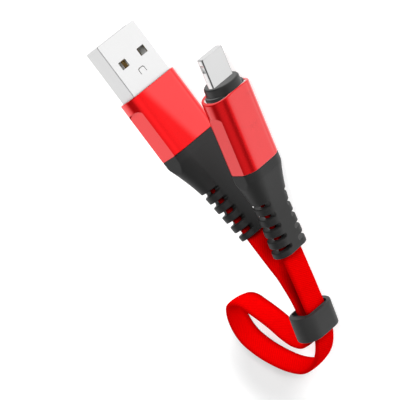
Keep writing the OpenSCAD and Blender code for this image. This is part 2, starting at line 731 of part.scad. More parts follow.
module phone_contact_carrier() {
    reach = finger_w / 2;
    color("white") lay_phone() difference() {
        slab([-reach, reach], [-tongue_t / 2, board_low_y], tongue_rear,
             window_top - tongue_rear);
        for (k = [0:phone_contact_count - 1])
            let (x = k * phone_contact_pitch - contact_row_w / 2,
                 half = phone_contact_w / 2 + fit_gap / 2)
            slab([x - half, x + half], [-tongue_t, tongue_t], phone_contact_low - fit_gap,
                 phone_contact_l + 2 * fit_gap);
    }
}

module phone_contacts() {
    color("goldenrod") lay_phone() for (k = [0:phone_contact_count - 1])
        let (x = k * phone_contact_pitch - contact_row_w / 2)
        slab([x - phone_contact_w / 2, x + phone_contact_w / 2],
             [board_low_y - carrier_t, board_low_y], phone_contact_low, phone_contact_l);
}

// Half section of the upper tier: a leaning wall and a well rounded rim
module tier_profile() {
    top = flange_h + tier_h;
    reach = tier_t / 2 - tier_lean;
    polygon([[0, 0], [tier_t / 2, 0], [reach, top - tier_rim_r], [0, top - tier_rim_r]]);
    square([reach - tier_rim_r, top]);
    translate([reach - tier_rim_r, top - tier_rim_r]) circle(tier_rim_r);
}

// The round of the phone sleeve's arched mouth: all that lies under it, along the thickness
module mouth_arch() {
    arch_r = (pow(phone_sleeve_w / 2, 2) + pow(mouth_rise, 2)) / (2 * mouth_rise);
    translate([0, 0, mouth_top - arch_r]) rotate([90, 0, 0])
        cylinder(r = arch_r, h = 2 * phone_sleeve_t, center = true, $fn = 360);
}

// Trims what stands over the arched mouth
module under_arch() {
    difference() {
        children();
        difference() {
            slab([-phone_sleeve_w, phone_sleeve_w], [-phone_sleeve_t, phone_sleeve_t],
                 phone_mouth - mouth_rise, 2 * mouth_rise + over);
            mouth_arch();
        }
    }
}

module phone_collar() {
    color("black") lay_phone() difference() {
        translate([0, 0, phone_mouth]) {
            soft_stadium(flange_w, flange_t, flange_h, flange_rim_r);
            swept_stadium(tier_w, tier_t) tier_profile();
        }
        mouth_arch();
        tongue_hole(phone_mouth - over, tier_top + over);
    }
}

// Hole that the tongue passes through
module tongue_hole(low, high) {
    translate([0, 0, low]) linear_extrude(high - low)
        round_box(tongue_w + 2 * fit_gap, tongue_t + 2 * fit_gap, tongue_corner_r + fit_gap);
}

module phone_end_insert() {
    color("white") lay_phone() difference() {
        under_arch() translate([0, 0, insert_base]) linear_extrude(insert_h + mouth_rise)
            phone_bore(fit_gap);
        tongue_hole(insert_base - over, mouth_top + over);
    }
}

module phone_circuit_board() {
    color("green") lay_phone() {
        slab([-board_w / 2, board_w / 2], [board_low_y, board_top_y], board_rear, board_l);
        slab([-finger_w / 2, finger_w / 2], [board_low_y, board_top_y], board_top - over,
             window_top - board_top + over);
    }
}

module phone_control_chip() {
    color("black") lay_phone()
        slab([-chip_side / 2, chip_side / 2], [board_top_y, board_top_y + chip_h],
             board_top - chip_back - chip_side, chip_side);
}

// Small parts in two pairs beside the chip
module phone_board_parts() {
    color("tan") lay_phone() for (side = [-1, 1], k = [0, 1])
        let (x = side * (chip_side / 2 + board_w / 2) / 2)
        slab([x - board_part_w / 2, x + board_part_w / 2],
             [board_top_y, board_top_y + board_part_h],
             board_top - chip_back - board_part_l - k * (board_part_l + board_part_gap),
             board_part_l);
}

module phone_solder_joints() {
    color("silver") lay_phone() solder_drops(wire_x, board_top_y, board_rear);
}

module phone_wires() {
    color("gold") lay_phone() wires(wire_x, phone_cable_end, board_rear, 0);
}

module phone_crimp() {
    color("silver") lay_phone() crimp(phone_cable_end - crimp_l);
}

module phone_inner_mould() {
    low = phone_spigot_top + fit_gap;
    color("dimgray") lay_phone() difference() {
        translate([0, 0, low]) linear_extrude(insert_base - fit_gap - low)
            phone_bore(fit_gap);
        wire_chamber(board_w / 2 + fit_gap, phone_spigot_top, insert_base + over,
                     phone_cable_end);
    }
}

module phone_sleeve() {
    color("crimson") lay_phone()
        under_arch() sleeve(phone_sleeve_w, phone_sleeve_t, phone_sleeve_l + mouth_rise,
                            phone_boot_l, phone_flat_depth, phone_flat_start + mouth_rise)
            phone_bore(0);
}

module phone_boot() {
    color("dimgray") lay_phone()
        boot([phone_sleeve_w, phone_sleeve_t], [phone_neck_w, phone_neck_t],
             [phone_tail_w, phone_tail_t], phone_boot_l, phone_spigot_top, phone_collar_l,
             phone_flare_l, phone_flat_depth) phone_bore(fit_gap);
}

// ---------------------------------------------------------------- keeper band

module keeper_band() {
    color("dimgray") translate([band_x, band_y, band_z]) rotate([-band_angle, 0, 0])
        lay_down([0, -band_l / 2, 0], 0) difference() {
            soft_stadium(band_w, band_t, band_l, band_rim_r);
            translate([0, 0, -over]) linear_extrude(band_l + 2 * over)
                round_box(band_slot_w, band_slot_t, band_slot_r);
        }
}

usb_shell();
usb_contact_block();
usb_contacts();
usb_solder_joints();
usb_wires();
usb_crimp();
usb_inner_mould();
usb_sleeve();
usb_boot();
phone_tongue();
phone_contact_carrier();
phone_contacts();
phone_collar();
phone_end_insert();
phone_circuit_board();
phone_control_chip();
phone_board_parts();
phone_solder_joints();
phone_wires();
phone_crimp();
phone_inner_mould();
phone_sleeve();
phone_boot();
flat_cable();
keeper_band();
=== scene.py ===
"""Looks of the flat charging cable: both plugs, their strain reliefs, the lead and its band.

Every piece is drawn in millimetres and then scaled to metres. A plug's pieces are drawn
standing on the plug's cord exit: width along X, thickness along Y, tip towards +Z.
"""

import json
import math
from functools import partial

import bmesh
import bpy
from mathutils import Matrix, Vector

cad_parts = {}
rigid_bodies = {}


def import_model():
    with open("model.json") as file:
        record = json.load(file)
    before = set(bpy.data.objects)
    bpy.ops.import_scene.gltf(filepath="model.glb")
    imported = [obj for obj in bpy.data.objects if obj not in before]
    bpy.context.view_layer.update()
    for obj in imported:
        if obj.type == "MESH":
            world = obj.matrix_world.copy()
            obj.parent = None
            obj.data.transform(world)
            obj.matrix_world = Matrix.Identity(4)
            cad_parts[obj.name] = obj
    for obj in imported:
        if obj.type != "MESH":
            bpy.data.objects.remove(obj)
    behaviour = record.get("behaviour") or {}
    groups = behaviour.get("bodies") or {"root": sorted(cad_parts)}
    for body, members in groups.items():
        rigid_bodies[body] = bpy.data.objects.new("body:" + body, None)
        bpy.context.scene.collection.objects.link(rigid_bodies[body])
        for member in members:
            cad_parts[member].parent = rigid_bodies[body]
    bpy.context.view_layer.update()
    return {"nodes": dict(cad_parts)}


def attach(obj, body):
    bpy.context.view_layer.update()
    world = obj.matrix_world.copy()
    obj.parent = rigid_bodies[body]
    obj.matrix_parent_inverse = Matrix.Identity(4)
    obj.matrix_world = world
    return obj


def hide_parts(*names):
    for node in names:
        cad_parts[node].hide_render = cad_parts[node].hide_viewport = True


MM = 0.001
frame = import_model()
nodes = frame["nodes"]
LEAD = "lead_and_plugs"
BAND = "band"

# ------------------------------------------------------------------ sizes, in millimetres

FIT = 0.05                              # room between pieces that sit in each other

CABLE_W, CABLE_T, CABLE_CROWN = 5.8, 1.6, 0.2
BEND_LEAN, BEND_REACH = 9, 4.5          # degrees, and how far from the bend they fade out

SHELL_W, SHELL_T, SHELL_WALL = 12.0, 4.5, 0.2
SHELL_R, SHELL_INNER_R, SHELL_RIM = 0.22, 0.02, 0.08
SHELL_OUT, SHELL_IN = 12.6, 6.1
LATCH_W, LATCH_L, LATCH_R = 2.15, 1.75, 0.15
LATCH_SPACING, LATCH_FROM_TIP = 6.05, 6
LEAF_W, LEAF_L, LEAF_R = 1.85, 1.35, 0.5
LEAF_FROM_TIP, LEAF_SLIT = 8.5, 0.13
SEAM = 0.06
HOLLOW_Y = 0.5                          # cuts that end here go through one broad wall only

USB_SLEEVE_W, USB_SLEEVE_T, USB_SLEEVE_L = 15.2, 6.9, 14.4
USB_FLAT, USB_FLAT_START, USB_BORE_R = 0.8, 2.6, 1.4
USB_BOOT_L, USB_RIM_L, USB_FLARE_L = 22.8, 1.8, 9.6
USB_NECK, USB_TAIL = (9.4, 4.9), (7.6, 4.3)

PHONE_SLEEVE_W, PHONE_SLEEVE_T, PHONE_SLEEVE_L = 11.9, 7.1, 16.4
PHONE_FLAT, PHONE_FLAT_START, PHONE_BORE_R = 0.4, 3.1, 2.6
PHONE_BOOT_L, PHONE_RIM_L, PHONE_FLARE_L = 20.5, 2.1, 8.8
PHONE_NECK, PHONE_TAIL = (8.4, 4.7), (8.9, 4.8)
MOUTH_RISE, INSERT_H, INSERT_SINK, INSERT_RIM = 0.7, 1.2, 0.2, 0.06

WALL, FLAT_WALL, SLEEVE_RIM = 0.55, 0.45, 0.18
FLAT_CORNER_R, FLAT_SPARE = 1.4, 0.1
LIP = 0.06                              # the USB sleeve stands this far over its filling
SLOT_COUNT, SLOT_FIRST, SLOT_PITCH, SLOT_H = 5, 1.75, 2.6, 0.95
SLOT_WEB, SLOT_WEB_STEP = 1.2, 0.32
BOOT_VOXEL, COLLAR_VOXEL = 0.13, 0.07

TONGUE_W, TONGUE_T, TONGUE_R, TONGUE_OUT = 6.65, 1.5, 0.3, 6.4
TONGUE_TIP_R, TONGUE_ROOT, TONGUE_HOLE_R = 0.3, 0.2, 0.55
NOTCH_R, NOTCH_DEPTH, NOTCH_H, NOTCH_FROM_TIP = 1.3, 0.35, 0.9, 2.1
POCKET_W, POCKET_L, POCKET_R, POCKET_FLOOR = 4.8, 4.2, 0.4, 0.3
POCKET_DRAWN_L = 5.5                    # then pressed to POCKET_L, which flattens its corners
CONTACT_L, CONTACT_BACK, CONTACT_TAIL_L = 3.2, 1.5, 1.5
BOARD_L, WIRE_RUN, CRIMP_L, CRIMP_GAP = 7.6, 2, 2.0, 0.3

FLANGE_W, FLANGE_T, FLANGE_H, FLANGE_RIM = 10.2, 4.8, 0.8, 0.3
TIER_W, TIER_T, TIER_H, TIER_POWER = 8.6, 6.8, 1.8, 2.05
TIER_FOOT, TIER_SINK, TIER_RIM, TIER_LEAN = 0.5, 0.35, 0.45, 0.05
FOOT_RIM = 0.1

BAND_W, BAND_T, BAND_L, BAND_RIM = 10.6, 6.5, 5.6, 0.25
BAND_SLOT_W, BAND_SLOT_T, BAND_SLOT_R = 7.4, 4.9, 1.1
BAND_SLOT_LIP = 0.2                     # a low lip stands round the slot at both of its ends
BAND_LEAN = math.radians(2)

USB_EXIT, USB_ANGLE = (5.5, -10.6, USB_SLEEVE_W / 2), 21.5
PHONE_EXIT = (11.4, -15.7, PHONE_SLEEVE_W / 2)
BAND_MIDDLE = (9.3, -33.3, BAND_W / 2 * math.cos(BAND_LEAN) + BAND_L / 2 * math.sin(BAND_LEAN))

USB_MOUTH = USB_BOOT_L + USB_SLEEVE_L
USB_TIP = USB_MOUTH + SHELL_OUT
USB_CABLE_END = USB_MOUTH - SHELL_IN - CONTACT_TAIL_L - WIRE_RUN
USB_SPIGOT_TOP = USB_CABLE_END - CRIMP_L - CRIMP_GAP
PHONE_MOUTH = PHONE_BOOT_L + PHONE_SLEEVE_L
TIER_TOP = PHONE_MOUTH + FLANGE_H + TIER_H
PHONE_TIP = TIER_TOP + TONGUE_OUT
TONGUE_LOW = PHONE_MOUTH - INSERT_H - TONGUE_ROOT
PHONE_CABLE_END = TONGUE_LOW - FIT - BOARD_L - WIRE_RUN
PHONE_SPIGOT_TOP = PHONE_CABLE_END - CRIMP_L - CRIMP_GAP
ARCH_R = ((PHONE_SLEEVE_W / 2) ** 2 + MOUTH_RISE**2) / (2 * MOUTH_RISE)


def sleeve_bore(w, t, flat, r, room=0.0):
    """Width, thickness and corner radius inside a sleeve, less some room all round."""
    return w - 2 * (flat + FLAT_WALL + room), t - 2 * (WALL + room), r - room


USB_SLEEVE_SIZES = (USB_SLEEVE_W, USB_SLEEVE_T, USB_FLAT, USB_BORE_R)
PHONE_SLEEVE_SIZES = (PHONE_SLEEVE_W, PHONE_SLEEVE_T, PHONE_FLAT, PHONE_BORE_R)
USB_SPIGOT = sleeve_bore(*USB_SLEEVE_SIZES, FIT)
PHONE_SPIGOT = sleeve_bore(*PHONE_SLEEVE_SIZES, FIT)


def new_object(name, data):
    obj = bpy.data.objects.new(name, data)
    bpy.context.scene.collection.objects.link(obj)
    return obj


# ------------------------------------------------------------------ camera

camera = new_object("camera", bpy.data.cameras.new("camera"))
camera.data.sensor_width = 36
camera.data.lens = 286.27
camera.data.clip_start, camera.data.clip_end = 0.05, 10
camera.location = (0.454567, 0.236037, 0.414699)
camera.rotation_euler = [math.radians(a) for a in (-39.7136, 36.6853, -26.8761)]
bpy.context.scene.camera = camera
bpy.context.scene.view_settings.view_transform = "Standard"


# ------------------------------------------------------------------ places and outlines

def standing_on(exit_mm, turn=0):
    """Lays a plug, drawn towards +Z, on its narrow side with its cord exit at a place."""
    a = math.radians(turn)
    across = Vector((math.cos(a), math.sin(a), 0))
    along = Vector((-math.sin(a), math.cos(a), 0))
    lay = Matrix((Vector((0, 0, 1)), across, along)).transposed().to_4x4()
    return Matrix.Translation(Vector(exit_mm) * MM) @ lay


ON_USB = standing_on(USB_EXIT, USB_ANGLE)
ON_PHONE = standing_on(PHONE_EXIT)
ON_BAND = (Matrix.Translation(Vector(BAND_MIDDLE) * MM) @ Matrix.Rotation(-BAND_LEAN, 4, "X")
           @ standing_on((0, -BAND_L / 2, 0)))


def outline(w, t, r=None, arc=10, across=1):
    """Points round a bar with round corners; without r its ends are fully round.

    The straight run from each corner to the middle of a broad face has across steps.
    """
    full = r is None
    r = t / 2 if full else r
    first = 1 if full else 0
    quarter = [(w / 2, 0)]
    for k in range(arc):
        a = math.radians(90 * (k + first) / (arc - 1 + first))
        quarter.append((w / 2 - r + r * math.cos(a), t / 2 - r + r * math.sin(a)))
    start = quarter[-1][0]
    quarter += [(start * (1 - k / across), t / 2) for k in range(1, across + 1)]
    upper = quarter + [(-x, y) for x, y in reversed(quarter[1:-1])]
    return upper + [(-x, -y) for x, y in upper]


def lift(points, z):
    return [(x, y, z) for x, y in points]


def upright(outline_points, low, high):
    """Two rings of one outline, at two heights."""
    return [lift(outline_points, z) for z in (low, high)]


def through(shape, y0, y1):
    """Two rings of one shape, given as (x, z), at two places along Y."""
    return [[(x, y, z) for x, z in shape] for y in (y0, y1)]


def block(w, t, low, high, r, rim=0.0, steps=3, arc=8, drop=None):
    """Rings of a bar from low to high whose two rims are rounded.

    With drop, the upper end comes down by drop(x) at a distance x from the middle.
    """
    least_r = 0.02
    made = []
    for upper in (False, True):
        for k in range(steps + 1):
            a = math.radians(90 * k / steps)
            inset = rim * (1 - (math.cos(a) if upper else math.sin(a)))
            radius = None if r is None else max(r - inset, least_r)
            ring = outline(w - 2 * inset, t - 2 * inset, radius, arc, 4 if drop else 1)
            if not upper:
                made.append(lift(ring, low + rim * (1 - math.cos(a))))
            else:
                z = high - rim * (1 - math.sin(a))
                made.append([(x, y, z - (drop(x) if drop else 0)) for x, y in ring])
    return made


# ------------------------------------------------------------------ mesh makers

def rings_to_mesh(name, rings, closed=False):
    """Skin over rings of equal length, capped unless the rings close on themselves."""
    n = len(rings[0])
    verts = [tuple(MM * c for c in p) for ring in rings for p in ring]
    faces = []
    spans = len(rings) if closed else len(rings) - 1
    for i in range(spans):
        a, b = i * n, (i + 1) % len(rings) * n
        faces += [(a + k, a + (k + 1) % n, b + (k + 1) % n, b + k) for k in range(n)]
    if not closed:
        faces.append(tuple(reversed(range(n))))
        last = (len(rings) - 1) * n
        faces.append(tuple(range(last, last + n)))
    mesh = bpy.data.meshes.new(name)
    mesh.from_pydata(verts, [], faces)
    mesh.validate()
    skin = bmesh.new()
    skin.from_mesh(mesh)
    bmesh.ops.recalc_face_normals(skin, faces=skin.faces)
    skin.to_mesh(mesh)
    skin.free()
    return mesh


def cutter(rings):
    return rings_to_mesh("tool", rings)


def twin_cutters(rings):
    """A cutter and its twin, turned to the plug's other narrow side."""
    tools = [cutter(rings), cutter(rings)]
    tools[1].transform(Matrix.Rotation(math.pi, 4, "Z"))
    return tools


def smoothed(mesh, angle):
    for p in mesh.polygons:
        p.use_smooth = True
    if angle:
        mesh.set_sharp_from_angle(angle=math.radians(angle))


def piece(name, rings, place, closed=False, angle=35):
    """An object skinned over rings at its place, smooth except across sharp edges."""
    obj = new_object(name, rings_to_mesh(name, rings, closed))
    obj.matrix_world = place
    smoothed(obj.data, angle)
    return obj


def worked(obj, modifiers, angle=35):
    """Applies modifiers, each (type, settings), and puts the result in the object's mesh."""
    for kind, settings in modifiers:
        m = obj.modifiers.new(kind.lower(), kind)
        for key, value in settings.items():
            setattr(m, key, value)
    depsgraph = bpy.context.evaluated_depsgraph_get()
    depsgraph.update()
    mesh = bpy.data.meshes.new_from_object(obj.evaluated_get(depsgraph))
    obj.modifiers.clear()
    old, obj.data = obj.data, mesh
    bpy.data.meshes.remove(old)
    mesh.name = obj.name
    smoothed(mesh, angle)
    return obj


def combined(obj, meshes, then=(), angle=35, operation="DIFFERENCE"):
    """Takes meshes, drawn like the piece, out of it or joins them to it; then come modifiers."""
    others = []
    for mesh in meshes:
        other = new_object("other", mesh)
        other.matrix_world = obj.matrix_world
        others.append(other)
    bpy.context.view_layer.update()
    steps = [("BOOLEAN", {"operation": operation, "solver": "EXACT", "object": other})
             for other in others]
    worked(obj, steps + list(then), angle)
    for other in others:
        mesh = other.data
        bpy.data.objects.remove(other)
        bpy.data.meshes.remove(mesh)
    return obj


def bevel(width, segments, degrees):
    return ("BEVEL", {"width": width * MM, "segments": segments, "limit_method": "ANGLE",
                      "angle_limit": math.radians(degrees), "use_clamp_overlap": True})


def melted(voxel):
    """Modifiers that melt a piece into one skin with soft edges."""
    return [("REMESH", {"mode": "VOXEL", "voxel_size": voxel * MM}),
            ("SMOOTH", {"factor": 0.5, "iterations": 3})]


def flattened(obj):
    """Lets the large flat faces rule the shading, so that it stays even beside small bevels."""
    return worked(obj, [("WEIGHTED_NORMAL", {"keep_sharp": True})], angle=None)


def keep(obj, material, slot, body, *replaced):
    """Gives a finished piece its material, its body and the CAD nodes that it stands for."""
    obj.data.materials.clear()
    obj.data.materials.append(material)
    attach(obj, body)
    if replaced:
        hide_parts(*replaced)


# ------------------------------------------------------------------ node helpers

def feed(tree, socket, source):
    """Links another node's output to a socket, or puts a plain value on it."""
    if isinstance(source, bpy.types.NodeSocket):
        tree.links.new(source, socket)
    else:
        socket.default_value = source


def group(name, inputs, outputs):
    """An empty shader group; inputs are (name, kind, value) and outputs (name, kind)."""
    tree = bpy.data.node_groups.new(name, "ShaderNodeTree")
    for label, kind, value in inputs:
        s = tree.interface.new_socket(label, in_out="INPUT", socket_type="NodeSocket" + kind)
        s.default_value = value
    for label, kind in outputs:
        tree.interface.new_socket(label, in_out="OUTPUT", socket_type="NodeSocket" + kind)
    given = tree.nodes.new("NodeGroupInput").outputs
    return tree, given, tree.nodes.new("NodeGroupOutput").inputs


def math_node(tree, what, a, b=None):
    n = tree.nodes.new("ShaderNodeMath")
    n.operation = what
    feed(tree, n.inputs[0], a)
    if b is not None:
        feed(tree, n.inputs[1], b)
    return n.outputs[0]


def vector_math(tree, what, a, b):
    n = tree.nodes.new("ShaderNodeVectorMath")
    n.operation = what
    feed(tree, n.inputs[0], a)
    feed(tree, n.inputs[1], b)
    return n.outputs["Value"]


def split(tree, vector):
    n = tree.nodes.new("ShaderNodeSeparateXYZ")
    tree.links.new(vector, n.inputs[0])
    return n.outputs


def noise(tree, place, scale, detail):
    n = tree.nodes.new("ShaderNodeTexNoise")
    for label, source in (("Vector", place), ("Scale", scale), ("Detail", detail)):
        feed(tree, n.inputs[label], source)
    return n.outputs["Fac"]


def ramp(tree, value, low, high, first=0.0, last=1.0, kind="SMOOTHSTEP"):
    """Goes from first to last while the value goes from low to high."""
    n = tree.nodes.new("ShaderNodeMapRange")
    n.interpolation_type = kind
    for label, source in (("Value", value), ("From Min", low), ("From Max", high),
                          ("To Min", first), ("To Max", last)):
        feed(tree, n.inputs[label], source)
    return n.outputs["Result"]


def varied(tree, swing, share, middle):
    """A middle value plus a share of something that swings round zero."""
    return math_node(tree, "ADD", math_node(tree, "MULTIPLY", swing, share), middle)


def put_out(tree, given, out, brightness, swing, height):
    """Feeds a surface group's three outputs: its colour times a brightness, gloss and relief."""
    tone = tree.nodes.new("ShaderNodeHueSaturation")
    feed(tree, tone.inputs["Color"], given["Color"])
    feed(tree, tone.inputs["Value"], brightness)
    feed(tree, out["Color"], tone.outputs["Color"])
    feed(tree, out["Roughness"], varied(tree, swing, given["Spread"], given["Roughness"]))
    feed(tree, out["Height"], height)


# ------------------------------------------------------------------ effects, as node groups

SURFACE = [("Color", "Color"), ("Roughness", "Float"), ("Height", "Float")]


def make_moulded_skin():
    """Fine matt grain of moulded plastic, with slow changes of shade.

    One input paints a highlight into the colour of what faces a plug's tip or one of its narrow
    sides.
    """
    tree, given, out = group(
        "moulded_skin",
        [("Color", "Color", (0.5, 0.5, 0.5, 1)), ("Shade", "Float", 0.1),
         ("Grain", "Float", 4000.0), ("Roughness", "Float", 0.5), ("Spread", "Float", 0.1),
         ("End Gleam", "Float", 0.0)], SURFACE)
    calc = partial(math_node, tree)
    look = tree.nodes.new("ShaderNodeTexCoord").outputs
    facing = split(tree, look["Normal"])
    # painted highlight: the colour is lightened where the surface faces the tip or a narrow side
    toward_end = calc("MAXIMUM", calc("ABSOLUTE", facing["X"]), facing["Z"])
    painted_highlight = calc("MULTIPLY", calc("POWER", toward_end, 5), given["End Gleam"])
    fine = noise(tree, look["Object"], given["Grain"], 3)
    slow = noise(tree, look["Object"], 180, 4)
    both = calc("ADD", calc("MULTIPLY", fine, 0.5), calc("MULTIPLY", slow, 0.5))
    swing = calc("SUBTRACT", both, 0.5)
    brightness = calc("ADD", varied(tree, swing, given["Shade"], 1.0), painted_highlight)
    put_out(tree, given, out, brightness, swing, fine)
    return tree


def make_drawn_metal():
    """Fine lines left along sheet metal by drawing, with faint cloudy tarnish.

    Two inputs paint light and shade into the colour: a painted highlight on the narrow sides and
    painted shade on the round corners.
    """
    tree, given, out = group(
        "drawn_metal",
        [("Color", "Color", (0.8, 0.8, 0.8, 1)), ("Shade", "Float", 0.06),
         ("Lines", "Float", 1.0), ("Roughness", "Float", 0.3), ("Spread", "Float", 0.1),
         ("Narrow Side Gleam", "Float", 0.0), ("Edge Shade", "Float", 0.0)], SURFACE)
    calc = partial(math_node, tree)
    look = tree.nodes.new("ShaderNodeTexCoord").outputs
    facing = split(tree, look["Normal"])
    # painted highlight on the narrow sides and painted shade on the round corners, set in the
    # colour by the way the surface faces
    sideways = calc("POWER", calc("ABSOLUTE", facing["X"]), 8)
    painted_highlight = calc("MULTIPLY", sideways, given["Narrow Side Gleam"])
    slanted = calc("ABSOLUTE", calc("MULTIPLY", calc("MULTIPLY", facing["X"], facing["Y"]), 2))
    edge = calc("MULTIPLY", slanted, given["Edge Shade"])
    stretch = tree.nodes.new("ShaderNodeMapping")
    stretch.inputs["Scale"].default_value = (9000, 9000, 350)
    feed(tree, stretch.inputs["Vector"], look["Object"])
    lines = noise(tree, stretch.outputs["Vector"], 1.0, 2)
    cloud = noise(tree, look["Object"], 260, 5)
    line_swing = calc("MULTIPLY", calc("SUBTRACT", lines, 0.5), given["Lines"])
    swing = calc("ADD", line_swing, calc("SUBTRACT", cloud, 0.5))
    tint = varied(tree, swing, given["Shade"], 1.0)
    put_out(tree, given, out, calc("SUBTRACT", calc("ADD", tint, painted_highlight), edge), swing, lines)
    return tree


def make_satin_faces():
    """Milky haze on the level faces of a plug's sleeve; its round corners are polished clear.

    On the broad faces the haze sets in while Slope times the place goes from Start to Full.
    """
    tree, given, out = group(
        "satin_faces",
        [("Polished", "Float", 0.05), ("Satin", "Float", 1.0), ("Slope", "Vector", (0, 0, 0)),
         ("Start", "Float", -1.0), ("Full", "Float", -0.5)],
        [("Value", "Float")])
    calc = partial(math_node, tree)
    look = tree.nodes.new("ShaderNodeTexCoord").outputs
    facing = split(tree, look["Normal"])
    along = vector_math(tree, "DOT_PRODUCT", look["Object"], given["Slope"])
    hazy = ramp(tree, along, given["Start"], given["Full"])
    narrow = ramp(tree, calc("ABSOLUTE", facing["X"]), 0.95, 0.995)
    broad = ramp(tree, calc("ABSOLUTE", facing["Y"]), 0.95, 0.995)
    level = calc("MAXIMUM", narrow, calc("MULTIPLY", broad, hazy))
    weight = ramp(tree, level, 0.0, 1.0, given["Polished"], given["Satin"], kind="LINEAR")
    feed(tree, out["Value"], weight)
    return tree


def make_woven_jacket():
    """Fine slanted ribs of a woven jacket, with painted shade towards its edges and, through
    ambient occlusion, painted shade where it runs in a hole or lies close to another piece.

    The mesh attribute "weave" holds metres along the lead and across it.
    """
    tree, given, out = group(
        "woven_jacket",
        [("Color", "Color", (0.5, 0.5, 0.5, 1)), ("Shade", "Float", 0.1),
         ("Pitch", "Float", 0.0005), ("Edge", "Float", 0.0029), ("Roughness", "Float", 0.7),
         ("Spread", "Float", 0.1)], SURFACE)
    calc = partial(math_node, tree)
    weave = tree.nodes.new("ShaderNodeAttribute")
    weave.attribute_name = "weave"
    run = split(tree, weave.outputs["Vector"])
    slant = calc("ADD", run["X"], run["Y"])
    rib = calc("SINE", calc("MULTIPLY", calc("DIVIDE", slant, given["Pitch"]), math.tau))
    look = tree.nodes.new("ShaderNodeTexCoord").outputs
    swing = calc("SUBTRACT", noise(tree, look["Object"], 3000, 2), 0.5)
    # painted shade: the colour darkens towards the edges, and ambient occlusion darkens it in
    # holes and beside other pieces
    off_middle = calc("MINIMUM", calc("DIVIDE", calc("ABSOLUTE", run["Y"]), given["Edge"]), 1)
    painted_edge_shade = calc("MULTIPLY", calc("POWER", off_middle, 12), 0.3)
    near = tree.nodes.new("ShaderNodeAmbientOcclusion")
    near.inputs["Distance"].default_value = 0.0025
    tint = varied(tree, calc("ADD", rib, swing), given["Shade"], 1.0)
    tint = calc("MULTIPLY", tint, calc("SUBTRACT", 1.0, painted_edge_shade))
    put_out(tree, given, out, calc("MULTIPLY", tint, near.outputs["AO"]), swing, rib)
    return tree


moulded_skin = make_moulded_skin()
woven_jacket = make_woven_jacket()
drawn_metal = make_drawn_metal()
satin_faces = make_satin_faces()

# ------------------------------------------------------------------ materials


def colour(r, g, b):
    return (r, g, b, 1)


def grey(v):
    return (v, v, v, 1)


def finish(name, effect, values, bump, shader=None):
    """A material: one effect group into a Principled shader that holds its own plain values.

    The bump is its strength and its depth in millimetres.
    """
    material = bpy.data.materials.new(name)
    material.use_nodes = True
    tree = material.node_tree
    principled = tree.nodes["Principled BSDF"].inputs
    made = tree.nodes.new("ShaderNodeGroup")
    made.node_tree = effect
    for key, value in values.items():
        made.inputs[key].default_value = value
    relief = tree.nodes.new("ShaderNodeBump")
    relief.inputs["Strength"].default_value = bump[0]
    relief.inputs["Distance"].default_value = bump[1] * MM
    for source, socket in ((made.outputs["Color"], principled["Base Color"]),
                           (made.outputs["Roughness"], principled["Roughness"]),
                           (made.outputs["Height"], relief.inputs["Height"]),
                           (relief.outputs["Normal"], principled["Normal"])):
        tree.links.new(source, socket)
    for key, value in (shader or {}).items():
        principled[key].default_value = value
    return material


def red_sleeve_coat(name, red, **haze_values):
    """Red dyed metal under a clear skin that has gone milky on the level faces."""
    coat = finish(
        name, moulded_skin,
        {"Color": colour(red, 0.005, 0.007), "Shade": 0.06, "Grain": 9000, "Roughness": 0.28,
         "Spread": 0.06},
        (0.05, 0.01),
        {"Metallic": 0.6, "Specular IOR Level": 0.1, "Coat Roughness": 0.3, "Coat IOR": 1.5})
    tree = coat.node_tree
    haze = tree.nodes.new("ShaderNodeGroup")
    haze.node_tree = satin_faces
    for key, value in haze_values.items():
        haze.inputs[key].default_value = value
    weight = tree.nodes["Principled BSDF"].inputs["Coat Weight"]
    tree.links.new(haze.outputs["Value"], weight)
    return coat


# both sleeves are one dyed metal; the USB sleeve's red (0.72) is set lighter than the phone
# sleeve's (0.6) as painted light and shade for how brightly each is lit
# on the USB sleeve the haze starts at the round corner by the mouth, and well inside by the boot
usb_red = red_sleeve_coat("satin_red_usb_coat", 0.72, Slope=(-1, 0, 0.24), Start=0.0038,
                          Full=0.0062)
phone_red = red_sleeve_coat("satin_red_phone_coat", 0.6)
lead_red = finish(
    "soft_red_jacket", woven_jacket,
    {"Color": colour(0.78, 0.0007, 0.001), "Shade": 0.08, "Pitch": 0.0006, "Roughness": 0.8,
     "Spread": 0.1},
    (0.3, 0.03), {"Specular IOR Level": 0.0})
boot_black = finish(
    "matt_boot_moulding", moulded_skin,
    {"Color": grey(0.0105), "Shade": 0.3, "Grain": 7000, "Roughness": 0.55, "Spread": 0.12},
    (0.2, 0.02), {"Specular IOR Level": 0.3})
band_black = finish(
    "soft_band_moulding", moulded_skin,
    {"Color": grey(0.022), "Shade": 0.3, "Grain": 5500, "Roughness": 0.6, "Spread": 0.12},
    (0.2, 0.02), {"Specular IOR Level": 0.3})
# the collar's tops and narrow ends get a painted highlight in their colour
collar_black = finish(
    "satin_collar_moulding", moulded_skin,
    {"Color": grey(0.011), "Shade": 0.3, "Grain": 7000, "Roughness": 0.45, "Spread": 0.1,
     "End Gleam": 2.6},
    (0.1, 0.01), {"Specular IOR Level": 0.25})
nickel = finish(
    "satin_nickel_shell", drawn_metal,
    {"Color": grey(0.573), "Shade": 0.05, "Lines": 1.0, "Roughness": 0.34, "Spread": 0.08},
    (0.06, 0.004), {"Metallic": 1.0})
